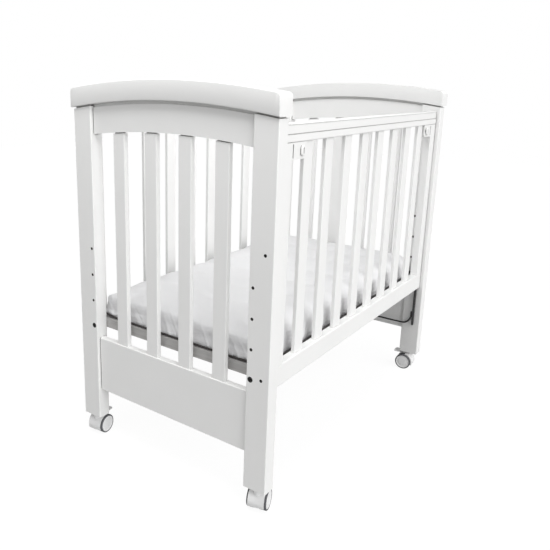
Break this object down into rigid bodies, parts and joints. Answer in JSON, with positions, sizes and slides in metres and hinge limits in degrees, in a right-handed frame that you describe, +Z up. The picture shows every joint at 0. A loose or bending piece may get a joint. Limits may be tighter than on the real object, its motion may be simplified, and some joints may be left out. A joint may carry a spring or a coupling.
{
  "type": "baby cot",
  "caption": "White wooden baby cot with arched ends, an open-slatted fixed side, a latched drop side on steel guide rods, a mattress and braked casters.",
  "frame": {"origin": "on the floor under the middle of the cot", "axes": "+X from the foot end to the head end, -Y towards the drop side, +Z up"},
  "size_m": [0.994, 0.586, 0.9435],
  "materials": {
    "painted_wood": "satin white paint on beech",
    "bare_wood": "unpainted slats and rails of the bed base",
    "teething_plastic": "smooth white",
    "latch_plastic": "smooth white",
    "nylon": "natural nylon",
    "black_steel": "satin black",
    "dark_screws": "blackened",
    "bright_steel": "zinc plated",
    "mattress_cover": "white cotton cover with a dark piping line",
    "caster_plastic": "white moulded nylon",
    "hub_plastic": "pale grey",
    "tyre_rubber": "dark grey"
  },
  "bodies": {
    "frame": {"post_foot_front": "painted_wood", "post_foot_back": "painted_wood", "post_head_front": "painted_wood", "post_head_back": "painted_wood", "cap_rail_foot": "painted_wood", "cap_rail_head": "painted_wood", "top_panel_foot": "painted_wood", "top_panel_head": "painted_wood", "lower_board_foot": "painted_wood", "lower_board_head": "painted_wood", "end_slats_foot": "painted_wood", "end_slats_head": "painted_wood", "back_top_rail": "painted_wood", "back_bottom_rail": "painted_wood", "back_stiles": "painted_wood", "back_slats": "painted_wood", "back_dowels": "bare_wood", "guide_rods": "black_steel", "link_rods": "black_steel", "rod_clips": "latch_plastic", "rod_bolts": "dark_screws", "base_side_rails": "bare_wood", "base_end_rails": "bare_wood", "base_slats": "bare_wood", "base_bolts": "dark_screws", "base_nuts": "bright_steel", "mattress": "mattress_cover", "caster_sockets": "nylon"},
    "drop_side": {"drop_top_rail": "painted_wood", "drop_bottom_rail": "painted_wood", "drop_stiles": "painted_wood", "drop_slats": "painted_wood", "teething_rail": "teething_plastic", "guide_shoes": "nylon", "latch_housings": "latch_plastic"},
    "latch_foot": {"latch_pin_foot": "bright_steel", "latch_knob_foot": "latch_plastic"},
    "latch_head": {"latch_pin_head": "bright_steel", "latch_knob_head": "latch_plastic"},
    "caster_foot_front": {"caster_hood_foot_front": "caster_plastic", "caster_steel_foot_front": "bright_steel"},
    "wheels_foot_front": {"caster_tyres_foot_front": "tyre_rubber", "caster_hubs_foot_front": "hub_plastic"},
    "brake_foot_front": {"caster_brake_foot_front": "caster_plastic"},
    "caster_foot_back": {"caster_hood_foot_back": "caster_plastic", "caster_steel_foot_back": "bright_steel"},
    "wheels_foot_back": {"caster_tyres_foot_back": "tyre_rubber", "caster_hubs_foot_back": "hub_plastic"},
    "brake_foot_back": {"caster_brake_foot_back": "caster_plastic"},
    "caster_head_front": {"caster_hood_head_front": "caster_plastic", "caster_steel_head_front": "bright_steel"},
    "wheels_head_front": {"caster_tyres_head_front": "tyre_rubber", "caster_hubs_head_front": "hub_plastic"},
    "brake_head_front": {"caster_brake_head_front": "caster_plastic"},
    "caster_head_back": {"caster_hood_head_back": "caster_plastic", "caster_steel_head_back": "bright_steel"},
    "wheels_head_back": {"caster_tyres_head_back": "tyre_rubber", "caster_hubs_head_back": "hub_plastic"},
    "brake_head_back": {"caster_brake_head_back": "caster_plastic"}
  },
  "joints": [
    {"name": "drop_side_slide", "type": "slide", "parent": "frame", "child": "drop_side", "axis": [0, 0, -1], "range_m": [0, 0.15]},
    {"name": "latch_foot_slide", "type": "slide", "parent": "drop_side", "child": "latch_foot", "axis": [1, 0, 0], "range_m": [0, 0.006], "stiffness_N_per_m": 400, "springref_m": -0.003},
    {"name": "latch_head_slide", "type": "slide", "parent": "drop_side", "child": "latch_head", "axis": [-1, 0, 0], "range_m": [0, 0.006], "stiffness_N_per_m": 400, "springref_m": -0.003},
    {"name": "swivel_foot_front", "type": "hinge", "parent": "frame", "child": "caster_foot_front", "pos_m": [-0.4725, -0.261, 0.058], "axis": [0, 0, 1], "continuous": true},
    {"name": "roll_foot_front", "type": "hinge", "parent": "caster_foot_front", "child": "wheels_foot_front", "pos_m": [-0.45898, -0.25738, 0.025], "axis": [-0.2588, 0.9659, 0], "continuous": true},
    {"name": "brake_press_foot_front", "type": "hinge", "parent": "caster_foot_front", "child": "brake_foot_front", "pos_m": [-0.44739, -0.25427, 0.0504], "axis": [-0.2588, 0.9659, 0], "range_deg": [0, 15]},
    {"name": "swivel_foot_back", "type": "hinge", "parent": "frame", "child": "caster_foot_back", "pos_m": [-0.4725, 0.261, 0.058], "axis": [0, 0, 1], "continuous": true},
    {"name": "roll_foot_back", "type": "hinge", "parent": "caster_foot_back", "child": "wheels_foot_back", "pos_m": [-0.45858, 0.26246, 0.025], "axis": [-0.1045, 0.9945, 0], "continuous": true},
    {"name": "brake_press_foot_back", "type": "hinge", "parent": "caster_foot_back", "child": "brake_foot_back", "pos_m": [-0.44664, 0.26372, 0.0504], "axis": [-0.1045, 0.9945, 0], "range_deg": [0, 15]},
    {"name": "swivel_head_front", "type": "hinge", "parent": "frame", "child": "caster_head_front", "pos_m": [0.4725, -0.261, 0.058], "axis": [0, 0, 1], "continuous": true},
    {"name": "roll_head_front", "type": "hinge", "parent": "caster_head_front", "child": "wheels_head_front", "pos_m": [0.47152, -0.24703, 0.025], "axis": [-0.9976, -0.0698, 0], "continuous": true},
    {"name": "brake_press_head_front", "type": "hinge", "parent": "caster_head_front", "child": "brake_head_front", "pos_m": [0.47069, -0.23506, 0.0504], "axis": [-0.9976, -0.0698, 0], "range_deg": [0, 15]},
    {"name": "swivel_head_back", "type": "hinge", "parent": "frame", "child": "caster_head_back", "pos_m": [0.4725, 0.261, 0.058], "axis": [0, 0, 1], "continuous": true},
    {"name": "roll_head_back", "type": "hinge", "parent": "caster_head_back", "child": "wheels_head_back", "pos_m": [0.45892, 0.26439, 0.025], "axis": [-0.2419, -0.9703, 0], "continuous": true},
    {"name": "brake_press_head_back", "type": "hinge", "parent": "caster_head_back", "child": "brake_head_back", "pos_m": [0.44727, 0.26729, 0.0504], "axis": [-0.2419, -0.9703, 0], "range_deg": [0, 15]}
  ]
}
